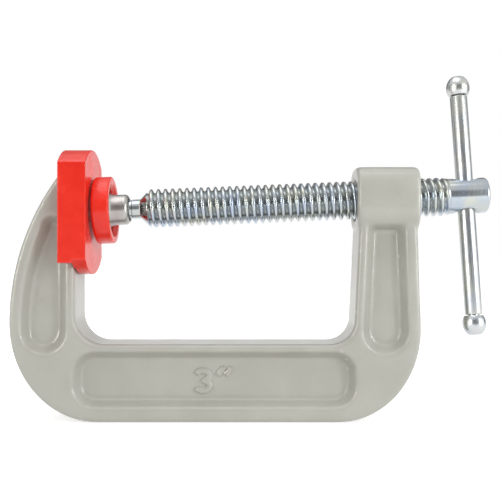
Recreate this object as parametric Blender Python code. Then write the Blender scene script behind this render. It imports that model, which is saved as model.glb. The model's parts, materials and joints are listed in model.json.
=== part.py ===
"""C clamp: a cast frame, a screw with a sliding T bar, a swivel shoe and two slip-on pads.

Metres, +Z up, +X from the jaws towards the handle, +Y to the back.
The origin is on the flat underside of the spine, in the frame's middle plane.
"""
import math

import bmesh
import bpy
from mathutils import Vector

# ---- Driving dimensions: the cast frame ---------------------------------------------
OPENING = 0.0855            # bare jaw face to boss face, along X
THROAT = 0.04445            # inner face of the spine up to the screw's axis
SPINE_HEIGHT = 0.0236       # depth of the spine, under the throat
FRAME_WIDTH = 0.0168        # whole width of the I-section, along Y
WEB_THICKNESS = 0.0094      # the thin plate in the middle of the I-section
EDGE_ROUND = 0.0012         # rounding along the frame's rims
DRAFT = 0.0024              # how far a pocket narrows from its mouth to its floor

BOSS_LENGTH = 0.0191
BOSS_DIAMETER = 0.0195      # height of the boss
BOSS_WIDTH = 0.0202         # its width, along Y
BOSS_SQUARENESS = 3.4       # 2 would be a plain ellipse; higher is nearer to a square
BOSS_ROUND = 0.0012         # rounding of the boss's ends
BOSS_FACE_X = 0.0325        # inner face of the boss, which the screw comes out of
BOSS_OVERHANG = 0.0011      # how far the boss stands past the arm at each end

BACK_DEPTH = 0.0200         # jaw face to the outermost point of the left arm
BACK_HAUNCH = 0.0300        # height of that outermost point
HEEL_RADIUS = 0.0265        # left lower corner, along X
JAW_TIP_RISE = 0.01045      # jaw tip above the screw's axis
JAW_TIP_THICKNESS = 0.0022
ARM_INNER_FLARE = 0.0019    # the right arm widens this much on each side, down to its foot
ARM_OUTER_FLARE = 0.0014
FRONT_HAUNCH = 0.0280       # height where the right lower corner ends
TOE_RADIUS = 0.0248         # right lower corner, along X
THROAT_CORNER_LEFT = 0.0087
THROAT_CORNER_RIGHT = 0.0073

RIM_LEFT = 0.0036           # rib along the back of the left arm
RIM_RIGHT = 0.0044          # rib along the outside of the right arm
RIM_JAW = 0.0026            # rib behind the jaw face
RIM_ARM = 0.0029            # rib on the right arm's throat side
RIM_SPINE_TOP = 0.0022      # rib under the throat
RIM_BASE = 0.0045           # rib along the underside
SPINE_POCKET_LEFT = 0.0006  # the spine's pocket runs this far under the left arm
SPINE_POCKET_RIGHT = 0.0002  # and this far under the right one
POCKET_CORNER = 0.0065
ARM_POCKET_FOOT = 0.0277    # middle height of the round lower end of both arm pockets
LEFT_POCKET_TOP = 0.0090    # middle of the left pocket's round top, below the screw's axis

# ---- Driving dimensions: the screw and its T bar ------------------------------------
SCREW_TILT = math.radians(2.3)      # the screw climbs this much towards its handle
BAR_LEAN = math.radians(6.0)        # how far the T bar is turned from upright, to the back
THREAD_DIAMETER = 0.0120
THREAD_DEPTH = 0.0012
THREAD_PITCH = 0.00222
THREAD_CREST = 0.0007       # width of the thread's crest
THREAD_FOOT = 0.00155       # width of the thread where it meets the core
THREAD_CLEARANCE = 0.0003   # between the screw and the tapped hole, along a radius
FLANK_CLEARANCE = 0.0002    # the same beside the ridge, along the screw
THREAD_END = 0.0174         # end of the thread, along the screw from the boss's middle
HEAD_DIAMETER = 0.0110
HEAD_LENGTH = 0.0149
HEAD_CHAMFER = 0.0011
CROSS_HOLE_FROM_END = 0.0071

BAR_DIAMETER = 0.0053
BAR_LENGTH = 0.0749         # between the middles of the bar's two ends
BAR_SLID_DOWN = 0.00255     # how far the bar has slid down through the head
BAR_END_DIAMETER = 0.0072
BAR_END_HEIGHT = 0.0062
BAR_END_FLAT = 0.0036       # width of the flat on top of each end
BAR_END_STEP = 0.0003       # how far each end stands out from the bar where they meet
SPIGOT_DIAMETER = 0.0034    # the turned-down tip that each end is pressed on

# ---- Driving dimensions: ball end, swivel shoe and pads -----------------------------
NECK_DIAMETER = 0.0056
NECK_LENGTH = 0.0037        # shoe's mouth to the cone where the thread starts
START_CONE = 0.0028
BALL_DIAMETER = 0.0066
BALL_NOSE = 0.0029          # ball's middle to its flattened nose

SHOE_DIAMETER = 0.0102      # the plain cylinder of the swivel shoe
SHOE_CYLINDER = 0.0020      # its length, from the mouth
SHOE_ROUND = 0.0009         # chamfer at its mouth
SHOE_FLOOR = 0.0009
SHOE_LIP = 0.0010           # thickness of the lip that keeps the spring ring in
SWIVEL_ROOM = 0.0005        # play that lets the shoe tip on the ball
RING_THICKNESS = 0.0006
RING_WALL = 0.00065
FLANGE_DIAMETER = 0.0158
FLANGE_THICKNESS = 0.0013

PAD_DIAMETER = 0.0208
PAD_DEPTH = 0.0053
PAD_FACE_WALL = 0.0016
PAD_LIP_HOLD = 0.0007       # how far the cap's lip reaches in behind the flange
PAD_ROUND = 0.0007
PAD_GAP = 0.00095           # between the two red pads, along the screw

JAW_PAD_DIAMETER = 0.0386
JAW_PAD_WIDTH = 0.0256      # across its two flats
JAW_PAD_PLATE = 0.00425     # rubber in front of the jaw face
JAW_PAD_DEPTH = 0.0084
JAW_PAD_DROP = 0.00405      # its middle, below the screw's height at the boss
JAW_PAD_SKIRT = 0.0156      # its middle down to the end of the cheeks beside the jaw
JAW_PAD_ROUND = 0.0008

CLEARANCE = 0.0003          # between pieces that touch

# ---- Mesh fineness ------------------------------------------------------------------
THREAD_SIDES = 12
SMALL_SIDES = 20
LARGE_SIDES = 32
ARC_SAG = 0.00012           # furthest that a chord may lie inside its arc

# ---- Places that follow from the sizes ----------------------------------------------
JAW_X = BOSS_FACE_X - OPENING
BACK_X = JAW_X - BACK_DEPTH
AXIS_Z = SPINE_HEIGHT + THROAT
BOSS_MIDDLE = Vector((BOSS_FACE_X + BOSS_LENGTH / 2, 0, AXIS_Z))
ARM_TOP_INNER_X = BOSS_FACE_X + BOSS_OVERHANG
ARM_TOP_OUTER_X = BOSS_FACE_X + BOSS_LENGTH - BOSS_OVERHANG
ARM_INNER_X = ARM_TOP_INNER_X - ARM_INNER_FLARE
ARM_OUTER_X = ARM_TOP_OUTER_X + ARM_OUTER_FLARE
TIP_Z = AXIS_Z + JAW_TIP_RISE
BACK_RISE = TIP_Z - BACK_HAUNCH
BACK_SAG = BACK_DEPTH - JAW_TIP_THICKNESS
BACK_RADIUS = (BACK_RISE ** 2 + BACK_SAG ** 2) / (2 * BACK_SAG)
BACK_CENTRE = (BACK_X + BACK_RADIUS, BACK_HAUNCH)

# Along the screw, measured from the boss's middle towards the handle.
CORE_RADIUS = THREAD_DIAMETER / 2 - THREAD_DEPTH
HEAD_END = THREAD_END + HEAD_LENGTH
CROSS_HOLE = HEAD_END - CROSS_HOLE_FROM_END
JAW_PAD_FACE_X = JAW_X + JAW_PAD_PLATE
PAD_FACE = (JAW_PAD_FACE_X - BOSS_MIDDLE.x) / math.cos(SCREW_TILT) + PAD_GAP
SHOE_NOSE = PAD_FACE + PAD_FACE_WALL + CLEARANCE
BALL_MIDDLE = SHOE_NOSE + SHOE_FLOOR + CLEARANCE + BALL_NOSE
BALL_RADIUS = BALL_DIAMETER / 2
NECK_RADIUS = NECK_DIAMETER / 2
BALL_TO_NECK = math.sqrt(BALL_RADIUS ** 2 - NECK_RADIUS ** 2)
RING_START = BALL_MIDDLE + BALL_TO_NECK + SWIVEL_ROOM
RING_END = RING_START + RING_THICKNESS
SHOE_MOUTH = RING_END + SWIVEL_ROOM + SHOE_LIP
THREAD_START = SHOE_MOUTH + NECK_LENGTH + START_CONE
SHOE_RADIUS = SHOE_DIAMETER / 2
FLANGE_RADIUS = FLANGE_DIAMETER / 2


# ---- Helpers ------------------------------------------------------------------------
def clear_scene():
    for item in list(bpy.data.objects):
        bpy.data.objects.remove(item, do_unlink=True)


def finish_material(name, color, roughness, metallic):
    material = bpy.data.materials.new(name)
    material.use_nodes = True
    shader = material.node_tree.nodes["Principled BSDF"]
    shader.inputs["Base Color"].default_value = (*color, 1.0)
    shader.inputs["Roughness"].default_value = roughness
    shader.inputs["Metallic"].default_value = metallic
    return material


def mesh_object(name, bm, material=None):
    """Close the bmesh's books: normals out, smooth where round, and link it as an object."""
    bmesh.ops.recalc_face_normals(bm, faces=bm.faces)
    mesh = bpy.data.meshes.new(name)
    bm.to_mesh(mesh)
    bm.free()
    mesh.shade_smooth()
    mesh.set_sharp_from_angle(angle=math.radians(35))
    if material:
        mesh.materials.append(material)
    item = bpy.data.objects.new(name, mesh)
    bpy.context.collection.objects.link(item)
    return item


def arc(centre, radius, start, end, height=None):
    """Points (x, z) on an arc from start to end degrees; height makes it an ellipse's."""
    first = math.radians(start)
    sweep = math.radians(end) - first
    tall = radius if height is None else height
    chord_angle = 2 * math.acos(1 - ARC_SAG / max(radius, tall))
    steps = max(2, math.ceil(abs(sweep) / chord_angle))
    points = []
    for step in range(steps + 1):
        angle = first + sweep * step / steps
        points.append((centre[0] + radius * math.cos(angle), centre[1] + tall * math.sin(angle)))
    return points


def inset_outline(outline, distance):
    """Move a closed outline's sides inwards by distance; the outline runs anticlockwise."""
    moved = []
    for index, here in enumerate(outline):
        point = Vector(here)
        before = (point - Vector(outline[index - 1])).normalized()
        after = (Vector(outline[(index + 1) % len(outline)]) - point).normalized()
        across = Vector((-after.y, after.x))
        inward = Vector((-before.y - after.y, before.x + after.x)).normalized()
        moved.append(point + inward * distance / inward.dot(across))
    return moved


def prism(bm, near_outline, far_outline, near_y, far_y):
    """A closed solid between two outlines of as many points, at two places along Y."""
    near = [bm.verts.new((x, near_y, z)) for x, z in near_outline]
    far = [bm.verts.new((x, far_y, z)) for x, z in far_outline]
    count = len(near)
    bm.faces.new(near)
    bm.faces.new(reversed(far))
    for index in range(count):
        after = (index + 1) % count
        bm.faces.new((near[after], near[index], far[index], far[after]))
    bm.normal_update()


def block(name, low, high):
    """A plain box between two corners, to cut or add."""
    bm = bmesh.new()
    bmesh.ops.create_cube(bm, size=1.0)
    middle = (low + high) / 2
    size = high - low
    for vert in bm.verts:
        vert.co = middle + Vector(vert.co[axis] * size[axis] for axis in range(3))
    return mesh_object(name, bm)


def turned(name, profile, sides, axis="X", material=None, closed=False):
    """Spin a profile of (along, radius) points about the local X or Z axis."""
    bm = bmesh.new()
    along_x = axis == "X"
    verts = [bm.verts.new((a, 0, r) if along_x else (r, 0, a)) for a, r in profile]
    edges = [bm.edges.new(pair) for pair in zip(verts, verts[1:])]
    if closed:
        edges.append(bm.edges.new((verts[-1], verts[0])))
    spin_axis = (1, 0, 0) if along_x else (0, 0, 1)
    bmesh.ops.spin(bm, geom=verts + edges, cent=(0, 0, 0), axis=spin_axis, dvec=(0, 0, 0),
                   angle=2 * math.pi, steps=sides, use_merge=True)
    bmesh.ops.remove_doubles(bm, verts=bm.verts, dist=1e-6)
    return mesh_object(name, bm, material)


def thread_ridge(name, first, last, root, grow=0.0, widen=0.0, fade_in=0.0, fade_out=0.0):
    """The helical ridge of a right-hand thread, from first to last along the local X axis.

    It stands on the radius root. grow lifts its crest and widen moves out its flanks, for
    the tapped hole. Its height grows over fade_in and shrinks over fade_out. The ridge
    passes the same angle at the same place in every piece made this way.
    """
    bm = bmesh.new()
    start = math.ceil(first / THREAD_PITCH * THREAD_SIDES)
    stop = math.floor(last / THREAD_PITCH * THREAD_SIDES)
    slope = (THREAD_FOOT - THREAD_CREST) / 2 / THREAD_DEPTH
    top = THREAD_DIAMETER / 2 + grow
    sections = []
    for step in range(start, stop + 1):
        along = step * THREAD_PITCH / THREAD_SIDES
        angle = 2 * math.pi * step / THREAD_SIDES
        height = 1.0
        if fade_in:
            height = min(height, (along - first) / fade_in)
        if fade_out:
            height = min(height, (last - along) / fade_out)
        crest = top - THREAD_DEPTH * (1.0 - max(height, 0.0))
        half_crest = THREAD_CREST / 2 + widen + (top - crest) * slope
        half_root = THREAD_CREST / 2 + widen + (top - root) * slope
        corners = ((-half_root, root), (-half_crest, crest), (half_crest, crest), (half_root, root))
        ring = []
        for shift, radius in corners:
            place = (along + shift, radius * math.cos(angle), radius * math.sin(angle))
            ring.append(bm.verts.new(place))
        sections.append(ring)
    bm.faces.new(sections[0])
    bm.faces.new(reversed(sections[-1]))
    for ring, following in zip(sections, sections[1:]):
        for index in range(4):
            after = (index + 1) % 4
            bm.faces.new((ring[after], ring[index], following[index], following[after]))
    bmesh.ops.triangulate(bm, faces=bm.faces)
    return mesh_object(name, bm)


def hide_cutter(item):
    item.hide_render = True
    item.display_type = "WIRE"


def combine(item, tool, operation):
    modifier = item.modifiers.new(f"{operation.lower()} {tool.name}", "BOOLEAN")
    modifier.object = tool
    modifier.operation = operation
    modifier.solver = "EXACT"
    hide_cutter(tool)


def joint_empty(name, place, rotation=(0, 0, 0), parent=None):
    empty = bpy.data.objects.new(name, None)
    empty.location = place
    empty.rotation_euler = rotation
    empty.parent = parent
    bpy.context.collection.objects.link(empty)
    return empty


# ---- The cast frame -----------------------------------------------------------------
def back_arc(inset, top_z):
    """The long arc of the left arm's back, from its top down to the haunch."""
    radius = BACK_RADIUS - inset
    top_angle = math.degrees(math.asin((top_z - BACK_HAUNCH) / radius))
    return arc(BACK_CENTRE, radius, 180 - top_angle, 180)


def frame_outline():
    """The C, anticlockwise from the right end of the flat underside."""
    arm_top_z = AXIS_Z + EDGE_ROUND
    right_centre = (ARM_INNER_X - THROAT_CORNER_RIGHT, SPINE_HEIGHT + THROAT_CORNER_RIGHT)
    left_centre = (JAW_X + THROAT_CORNER_LEFT, SPINE_HEIGHT + THROAT_CORNER_LEFT)
    toe = (ARM_OUTER_X - TOE_RADIUS, FRONT_HAUNCH)
    heel = (BACK_X + HEEL_RADIUS, BACK_HAUNCH)
    outline = arc(toe, TOE_RADIUS, -90, 0, FRONT_HAUNCH)
    outline += [(ARM_TOP_OUTER_X, arm_top_z), (ARM_TOP_INNER_X, arm_top_z)]
    outline += arc(right_centre, THROAT_CORNER_RIGHT, 0, -90)
    outline += arc(left_centre, THROAT_CORNER_LEFT, -90, -180)
    outline += [(JAW_X, TIP_Z)]
    outline += back_arc(0, TIP_Z)
    outline += arc(heel, HEEL_RADIUS, 180, 270, BACK_HAUNCH)[1:]
    return outline


def left_pocket():
    """The pocket of the left arm: round below, following the arm's back, and narrow on top."""
    right_x = JAW_X - RIM_JAW
    left_x = BACK_X + RIM_LEFT
    foot_radius = (right_x - left_x) / 2
    back = back_arc(RIM_LEFT, AXIS_Z - LEFT_POCKET_TOP)
    top_x, top_z = back[0]
    top_radius = (right_x - top_x) / 2
    outline = arc((left_x + foot_radius, ARM_POCKET_FOOT), foot_radius, 180, 360)
    outline += arc((top_x + top_radius, top_z), top_radius, 0, 180)
    outline += back[1:]
    return outline


def spine_pocket():
    left = JAW_X - SPINE_POCKET_LEFT
    right = ARM_INNER_X + SPINE_POCKET_RIGHT
    low = RIM_BASE
    high = SPINE_HEIGHT - RIM_SPINE_TOP
    corner = POCKET_CORNER
    outline = arc((right - corner, low + corner), corner, -90, 0)
    outline += arc((right - corner, high - corner), corner, 0, 90)
    outline += arc((left + corner, high - corner), corner, 90, 180)
    outline += arc((left + corner, low + corner), corner, 180, 270)
    return outline


def right_pocket():
    """The pocket of the right arm: round below, and running up under the boss."""
    left_x = ARM_INNER_X + RIM_ARM
    right_x = ARM_OUTER_X - RIM_RIGHT
    foot_radius = (right_x - left_x) / 2
    outline = arc((left_x + foot_radius, ARM_POCKET_FOOT), foot_radius, 180, 360)
    outline += [(ARM_TOP_OUTER_X - RIM_RIGHT, AXIS_Z), (ARM_TOP_INNER_X + RIM_ARM, AXIS_Z)]
    return outline


def pocket_cutters():
    """One drafted cutter for each pocket on each side, in one mesh."""
    bm = bmesh.new()
    mouth = FRAME_WIDTH / 2
    floor = WEB_THICKNESS / 2
    depth = mouth - floor
    for outline in (left_pocket(), spine_pocket(), right_pocket()):
        wide = inset_outline(outline, -DRAFT)
        narrow = inset_outline(outline, DRAFT)
        for side in (-1, 1):
            prism(bm, wide, narrow, side * (mouth + depth), side * floor)
    return mesh_object("pocket_cutters", bm)


def boss_stock():
    """The boss: a short bar of rounded-square section along X, with rounded ends."""
    section = []
    for step in range(LARGE_SIDES):
        angle = 2 * math.pi * (step + 0.5) / LARGE_SIDES
        across = math.cos(angle)
        up = math.sin(angle)
        size = abs(across) ** BOSS_SQUARENESS + abs(up) ** BOSS_SQUARENESS
        size **= -1 / BOSS_SQUARENESS
        section.append((BOSS_WIDTH / 2 * size * across, BOSS_DIAMETER / 2 * size * up))
    radius = BOSS_DIAMETER / 2
    half_length = BOSS_LENGTH / 2
    end = arc((half_length - BOSS_ROUND, radius - BOSS_ROUND), BOSS_ROUND, 0, 90)
    bm = bmesh.new()
    rings = []
    for along, reach in [(-a, r) for a, r in end] + end[::-1]:
        share = reach / radius
        rings.append([bm.verts.new((along, y * share, z * share)) for y, z in section])
    bm.faces.new(rings[0])
    bm.faces.new(reversed(rings[-1]))
    for ring, following in zip(rings, rings[1:]):
        for index in range(LARGE_SIDES):
            after = (index + 1) % LARGE_SIDES
            bm.faces.new((ring[after], ring[index], following[index], following[after]))
    return mesh_object("boss_stock", bm)


def make_frame(material, screw_line):
    bm = bmesh.new()
    half = FRAME_WIDTH / 2
    outline = frame_outline()
    prism(bm, outline, outline, -half, half)
    rims = [edge for edge in bm.edges if edge.verts[0].co.y == edge.verts[1].co.y]
    bmesh.ops.bevel(bm, geom=rims, offset=EDGE_ROUND, offset_type="OFFSET", segments=2,
                    profile=0.5, affect="EDGES")
    frame = mesh_object("frame", bm, material)

    combine(frame, pocket_cutters(), "DIFFERENCE")

    boss = boss_stock()
    boss.location = BOSS_MIDDLE
    combine(frame, boss, "UNION")

    reach = BOSS_LENGTH
    hole_radius = CORE_RADIUS + THREAD_CLEARANCE
    hole_profile = [(-reach, 0), (-reach, hole_radius), (reach, hole_radius), (reach, 0)]
    hole = turned("tap_drill", hole_profile, THREAD_SIDES)
    hole.parent = screw_line
    combine(frame, hole, "DIFFERENCE")
    groove_reach = BOSS_LENGTH / 2 + THREAD_PITCH
    tap = thread_ridge("tap", -groove_reach, groove_reach, root=hole_radius - THREAD_CLEARANCE / 2,
                       grow=THREAD_CLEARANCE, widen=FLANK_CLEARANCE)
    tap.parent = screw_line
    combine(frame, tap, "DIFFERENCE")
    return frame


# ---- The screw ----------------------------------------------------------------------
def make_spindle(material, screw_line):
    """Ball end, neck, thread and cross-drilled head, all one turned piece of steel."""
    nose_angle = math.degrees(math.acos(BALL_NOSE / BALL_RADIUS))
    neck_angle = math.degrees(math.acos(BALL_TO_NECK / BALL_RADIUS))
    ball = arc((BALL_MIDDLE, 0), BALL_RADIUS, 180 - nose_angle, neck_angle)
    profile = [(BALL_MIDDLE - BALL_NOSE, 0)] + ball
    profile += [
        (THREAD_START - START_CONE, NECK_RADIUS),
        (THREAD_START - START_CONE / 3, CORE_RADIUS),
        (THREAD_END, CORE_RADIUS),
        (THREAD_END + THREAD_DEPTH, HEAD_DIAMETER / 2),
        (HEAD_END - HEAD_CHAMFER, HEAD_DIAMETER / 2),
        (HEAD_END, HEAD_DIAMETER / 2 - HEAD_CHAMFER),
        (HEAD_END, 0),
    ]
    spindle = turned("spindle", profile, THREAD_SIDES, material=material)
    spindle.parent = screw_line
    ridge = thread_ridge("thread_stock", THREAD_START - START_CONE / 3, THREAD_END + THREAD_PITCH / 2,
                         root=CORE_RADIUS - CLEARANCE, fade_in=START_CONE / 2,
                         fade_out=THREAD_PITCH / 2)
    ridge.parent = screw_line
    combine(spindle, ridge, "UNION")
    hole_radius = BAR_DIAMETER / 2 + CLEARANCE
    reach = THREAD_DIAMETER
    hole_profile = [(-reach, 0), (-reach, hole_radius), (reach, hole_radius), (reach, 0)]
    hole = turned("cross_drill", hole_profile, SMALL_SIDES, axis="Z")
    hole.parent = screw_line
    hole.location = (CROSS_HOLE, 0, 0)
    combine(spindle, hole, "DIFFERENCE")
    return spindle


# ---- The T bar ----------------------------------------------------------------------
def make_handle(bar_material, end_material, bar_line):
    """The sliding bar, with a turned-down spigot and a pressed-on flattened ball at each end."""
    half = BAR_LENGTH / 2
    shoulder = half - BAR_END_HEIGHT / 2
    radius = BAR_DIAMETER / 2
    thin = SPIGOT_DIAMETER / 2
    profile = [(-half, 0), (-half, thin), (-shoulder, thin), (-shoulder, radius),
               (shoulder, radius), (shoulder, thin), (half, thin), (half, 0)]
    bar = turned("handle_bar", profile, SMALL_SIDES, axis="Z", material=bar_material)
    bar.parent = bar_line

    low = CLEARANCE - BAR_END_HEIGHT / 2
    high = BAR_END_HEIGHT / 2
    widest = BAR_END_DIAMETER / 2
    foot = radius + BAR_END_STEP
    bore = thin + CLEARANCE
    top_angle = math.acos(BAR_END_FLAT / 2 / widest)
    foot_angle = math.acos(foot / widest)
    tall = (high - low) / (math.sin(top_angle) + math.sin(foot_angle))
    middle = high - tall * math.sin(top_angle)
    round_side = arc((0, middle), widest, -math.degrees(foot_angle), math.degrees(top_angle), tall)
    profile = [(2 * CLEARANCE, 0), (2 * CLEARANCE, bore), (low, bore)]
    profile += [(along, across) for across, along in round_side]
    profile += [(high, 0)]
    ends = []
    for name, place, turn in (("handle_end_upper", half, 0.0), ("handle_end_lower", -half, math.pi)):
        end = turned(name, profile, SMALL_SIDES, axis="Z", material=end_material)
        end.parent = bar_line
        end.location = (0, 0, place)
        end.rotation_euler = (turn, 0, 0)
        ends.append(end)
    return bar, ends


# ---- Shoe, ring and pads ------------------------------------------------------------
def make_ring(material, shoe_line):
    """The spring ring around the neck, between the ball and the shoe's lip."""
    inner = NECK_RADIUS + CLEARANCE
    start = RING_START - BALL_MIDDLE
    end = RING_END - BALL_MIDDLE
    profile = [(start, inner), (start, inner + RING_WALL), (end, inner + RING_WALL), (end, inner)]
    ring = turned("shoe_retaining_ring", profile, SMALL_SIDES, material=material, closed=True)
    ring.parent = shoe_line
    return ring


def make_shoe(material, shoe_line):
    """A hollow bell on the ball, flaring to a round flange that the cap snaps over."""
    nose = SHOE_NOSE - BALL_MIDDLE
    mouth = SHOE_MOUTH - BALL_MIDDLE
    cavity_floor = nose + SHOE_FLOOR
    ring_radius = NECK_RADIUS + CLEARANCE + RING_WALL
    cavity = ring_radius + SWIVEL_ROOM
    lip = NECK_RADIUS + SWIVEL_ROOM + CLEARANCE / 2
    flange_back = nose + FLANGE_THICKNESS
    flare = (FLANGE_RADIUS - SHOE_RADIUS) / 2
    profile = [
        (nose, 0),
        (nose, FLANGE_RADIUS),
        (flange_back, FLANGE_RADIUS),
        (flange_back, SHOE_RADIUS + flare),
        (flange_back + flare / 2, SHOE_RADIUS + flare / 3),
        (mouth - SHOE_CYLINDER, SHOE_RADIUS),
        (mouth - SHOE_ROUND, SHOE_RADIUS),
        (mouth, SHOE_RADIUS - SHOE_ROUND),
        (mouth, lip),
        (mouth - SHOE_LIP, lip),
        (mouth - SHOE_LIP, cavity),
        (cavity_floor, cavity),
        (cavity_floor, 0),
    ]
    shoe = turned("swivel_shoe", profile, SMALL_SIDES, material=material)
    shoe.parent = shoe_line
    return shoe


def make_shoe_pad(material, shoe_line):
    """The round cap: a face against the work, and a rim whose lip holds it on the flange."""
    face = PAD_FACE - BALL_MIDDLE
    back = face + PAD_DEPTH
    floor = face + PAD_FACE_WALL
    radius = PAD_DIAMETER / 2
    groove = FLANGE_RADIUS + CLEARANCE
    lip = FLANGE_RADIUS - PAD_LIP_HOLD
    lip_start = SHOE_NOSE - BALL_MIDDLE + FLANGE_THICKNESS + CLEARANCE
    profile = [
        (face, 0),
        (face, radius - PAD_ROUND),
        (face + PAD_ROUND, radius),
        (back - PAD_ROUND / 2, radius),
        (back, radius - PAD_ROUND / 2),
        (back, groove),
        (back - PAD_LIP_HOLD, lip),
        (lip_start, lip),
        (lip_start, groove),
        (floor, groove),
        (floor, 0),
    ]
    pad = turned("shoe_pad", profile, LARGE_SIDES, material=material)
    pad.parent = shoe_line
    return pad


def jaw_tip_outline():
    """The upper stretch of the left arm with clearance around it, for the jaw pad's pocket."""
    low = AXIS_Z - JAW_PAD_DIAMETER
    top = TIP_Z + CLEARANCE
    radius = BACK_RADIUS + CLEARANCE
    low_angle = math.degrees(math.asin((low - BACK_HAUNCH) / radius))
    high_angle = math.degrees(math.asin((top - BACK_HAUNCH) / radius))
    back = arc(BACK_CENTRE, radius, 180 - high_angle, 180 - low_angle)
    return [(JAW_X + CLEARANCE, low), (JAW_X + CLEARANCE, top)] + back


def make_jaw_pad(material):
    """A disc with two flats in front of the jaw face, and cheeks that grip the jaw's sides."""
    bm = bmesh.new()
    radius = JAW_PAD_DIAMETER / 2
    half_width = JAW_PAD_WIDTH / 2
    middle_z = AXIS_Z - JAW_PAD_DROP
    back_x = JAW_PAD_FACE_X - JAW_PAD_DEPTH
    flat_angle = math.degrees(math.acos(half_width / radius))
    outline = arc((0, 0), radius, flat_angle, 180 - flat_angle)
    outline += arc((0, 0), radius, 180 + flat_angle, 360 - flat_angle)
    front = [bm.verts.new((JAW_PAD_FACE_X, y, middle_z + z)) for y, z in outline]
    back = [bm.verts.new((back_x, y, middle_z + z)) for y, z in outline]
    bm.faces.new(front)
    bm.faces.new(reversed(back))
    for index in range(len(outline)):
        after = (index + 1) % len(outline)
        bm.faces.new((front[after], front[index], back[index], back[after]))
    bm.normal_update()
    rims = [edge for edge in bm.edges if edge.verts[0].co.x == edge.verts[1].co.x]
    bmesh.ops.bevel(bm, geom=rims, offset=JAW_PAD_ROUND, offset_type="OFFSET", segments=1,
                    profile=0.5, affect="EDGES")
    pad = mesh_object("jaw_pad", bm, material)

    skirt_z = middle_z - JAW_PAD_SKIRT
    low = Vector((back_x, -half_width, skirt_z))
    high = Vector((JAW_X, half_width, middle_z))
    combine(pad, block("cheek_stock", low, high), "UNION")
    low = Vector((back_x - radius, -radius, middle_z - 2 * radius))
    high = Vector((JAW_X, radius, skirt_z))
    combine(pad, block("under_cheeks", low, high), "DIFFERENCE")

    cutter_mesh = bmesh.new()
    half = FRAME_WIDTH / 2 + CLEARANCE
    outline = jaw_tip_outline()
    prism(cutter_mesh, outline, outline, -half, half)
    combine(pad, mesh_object("jaw_pocket", cutter_mesh), "DIFFERENCE")
    return pad


# ---- Assembly -----------------------------------------------------------------------
def build():
    clear_scene()
    grey_paint = finish_material("grey_paint", (0.52, 0.52, 0.49), 0.35, 0.0)
    plated_steel = finish_material("plated_steel", (0.74, 0.75, 0.78), 0.2, 1.0)
    spring_steel = finish_material("spring_steel", (0.45, 0.45, 0.46), 0.35, 1.0)
    red_rubber = finish_material("red_rubber", (0.80, 0.03, 0.02), 0.4, 0.0)

    screw_line = joint_empty("screw_line", BOSS_MIDDLE, (-BAR_LEAN, -SCREW_TILT, 0))
    shoe_line = joint_empty("shoe_line", (BALL_MIDDLE, 0, 0), parent=screw_line)
    bar_line = joint_empty("bar_line", (CROSS_HOLE, 0, -BAR_SLID_DOWN), parent=screw_line)

    make_frame(grey_paint, screw_line)
    make_spindle(plated_steel, screw_line)
    make_handle(plated_steel, plated_steel, bar_line)
    make_ring(spring_steel, shoe_line)
    make_shoe(plated_steel, shoe_line)
    make_shoe_pad(red_rubber, shoe_line)
    make_jaw_pad(red_rubber)
    bpy.context.view_layer.update()


build()
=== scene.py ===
# %% [markdown]
# # A C clamp, modelled and finished piece by piece
#
# This is a small workshop clamp: a cast iron frame painted grey, a plated screw with a T bar,
# a swivel shoe and two red slip-on pads. The machined model of each piece is already packed,
# with its joints. Here each piece gets the shape and surface that the eye sees: rounded
# casting edges, a real helical thread, soft plastic corners and finishes made from nodes.
#
# Every length is in metres. X runs from the jaws to the handle, Z is up and Y is to the back.

import json
import math

import bmesh
import bpy
import numpy as np
from mathutils import Matrix, Vector, noise


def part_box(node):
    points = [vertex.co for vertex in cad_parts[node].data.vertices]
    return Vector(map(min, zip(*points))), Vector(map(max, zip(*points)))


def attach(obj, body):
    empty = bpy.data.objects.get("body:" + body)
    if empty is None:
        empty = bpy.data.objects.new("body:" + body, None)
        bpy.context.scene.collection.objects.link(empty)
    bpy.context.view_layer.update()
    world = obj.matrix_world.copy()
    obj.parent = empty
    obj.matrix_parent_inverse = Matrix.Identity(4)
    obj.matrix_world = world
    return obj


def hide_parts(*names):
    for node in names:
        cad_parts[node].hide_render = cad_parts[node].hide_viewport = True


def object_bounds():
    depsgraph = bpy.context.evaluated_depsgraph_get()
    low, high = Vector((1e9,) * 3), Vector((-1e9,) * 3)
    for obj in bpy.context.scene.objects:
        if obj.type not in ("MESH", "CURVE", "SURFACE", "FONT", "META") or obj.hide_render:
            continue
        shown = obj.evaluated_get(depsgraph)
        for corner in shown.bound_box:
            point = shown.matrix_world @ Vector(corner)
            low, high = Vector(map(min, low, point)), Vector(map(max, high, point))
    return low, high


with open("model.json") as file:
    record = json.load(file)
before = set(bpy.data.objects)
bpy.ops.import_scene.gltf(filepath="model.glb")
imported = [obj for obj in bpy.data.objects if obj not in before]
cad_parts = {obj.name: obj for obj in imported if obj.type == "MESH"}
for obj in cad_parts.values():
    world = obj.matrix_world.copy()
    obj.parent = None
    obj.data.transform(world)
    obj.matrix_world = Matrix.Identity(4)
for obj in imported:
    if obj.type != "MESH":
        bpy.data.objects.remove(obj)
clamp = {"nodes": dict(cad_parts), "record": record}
packed_low, packed_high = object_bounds()
record = clamp["record"]
print("packed size in mm:", [round(1000 * side, 1) for side in packed_high - packed_low])

# %% [markdown]
# ## Where the screw lies
#
# Most pieces of this clamp are turned, so each has one straight axis. The joints of the record
# already say where the axes are: the screw turns about one line and the T bar slides along
# another. A matrix whose X column is the screw's axis and whose Z column is the bar's lets
# every turned piece be drawn flat on its own axis first, and set into the clamp afterwards.

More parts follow.
